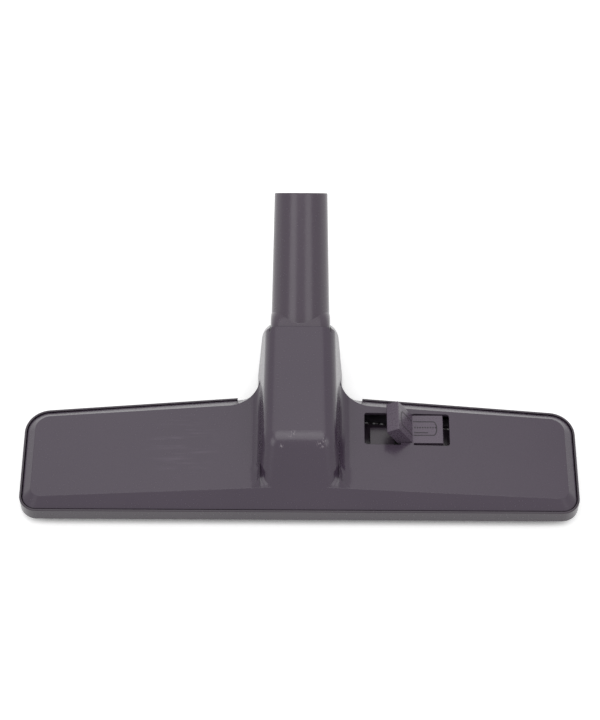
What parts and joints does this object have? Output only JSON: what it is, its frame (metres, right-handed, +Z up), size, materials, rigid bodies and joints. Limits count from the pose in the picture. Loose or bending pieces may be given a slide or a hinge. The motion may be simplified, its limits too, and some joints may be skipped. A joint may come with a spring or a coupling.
{
  "type": "vacuum floor head",
  "caption": "Wide vacuum floor head with swept wings, a raised hood, a tilting wand neck and a rocker pedal that lifts or lowers its bristle strips.",
  "frame": {"origin": "middle of the part's footprint, on the floor that the bristle tips and wheels stand on", "axes": "+X along the wide head to the right, +Y to the rear where the neck points, +Z up"},
  "size_m": [0.38, 0.2188, 0.1159],
  "materials": {
    "dark_plastic": "satin moulded polypropylene",
    "base_plastic": "satin moulded polypropylene",
    "duct_plastic": "plain moulded plastic",
    "sole_steel": "brushed",
    "lint_pile": "short directional pile",
    "neck_plastic": "satin moulded polypropylene",
    "pedal_plastic": "satin moulded plastic",
    "pin_steel": "drawn",
    "frame_plastic": "plain moulded plastic",
    "bristle": "nylon filaments",
    "wheel_rubber": "matt",
    "screw_steel": "zinc plated"
  },
  "bodies": {
    "head": {"top_cover": "dark_plastic", "base_housing": "base_plastic", "air_duct": "duct_plastic", "glide_plate": "sole_steel", "front_left_lint_strip": "lint_pile", "front_right_lint_strip": "lint_pile", "rear_left_lint_strip": "lint_pile", "rear_right_lint_strip": "lint_pile", "pedal_pin": "pin_steel", "left_wheel_axle": "pin_steel", "right_wheel_axle": "pin_steel", "cover_screws": "screw_steel", "glide_screws": "screw_steel"},
    "neck": {"neck_tube": "neck_plastic"},
    "pedal": {"rocker_pedal": "pedal_plastic"},
    "brush": {"brush_frame": "frame_plastic", "front_bristles": "bristle", "rear_bristles": "bristle"},
    "left_roller": {"left_wheel": "wheel_rubber"},
    "right_roller": {"right_wheel": "wheel_rubber"}
  },
  "joints": [
    {"name": "neck_tilt", "type": "hinge", "parent": "head", "child": "neck", "pos_m": [0, 0.01806, 0.038], "axis": [1, 0, 0], "range_deg": [-28, 10]},
    {"name": "pedal_rock", "type": "hinge", "parent": "head", "child": "pedal", "pos_m": [0.0736, -0.04779, 0.01946], "axis": [0, -1, 0], "range_deg": [0, 60]},
    {"name": "brush_lift", "type": "slide", "parent": "head", "child": "brush", "axis": [0, 0, 1], "range_m": [0, 0.006]},
    {"name": "left_wheel_roll", "type": "hinge", "parent": "head", "child": "left_roller", "pos_m": [-0.0162, -0.00894, 0.008], "axis": [1, 0, 0], "continuous": true},
    {"name": "right_wheel_roll", "type": "hinge", "parent": "head", "child": "right_roller", "pos_m": [0.0162, -0.00894, 0.008], "axis": [1, 0, 0], "continuous": true}
  ],
  "couplings": [
    {"joint": "pedal_rock", "follows": "brush_lift", "rad_per_m": 174.53}
  ]
}
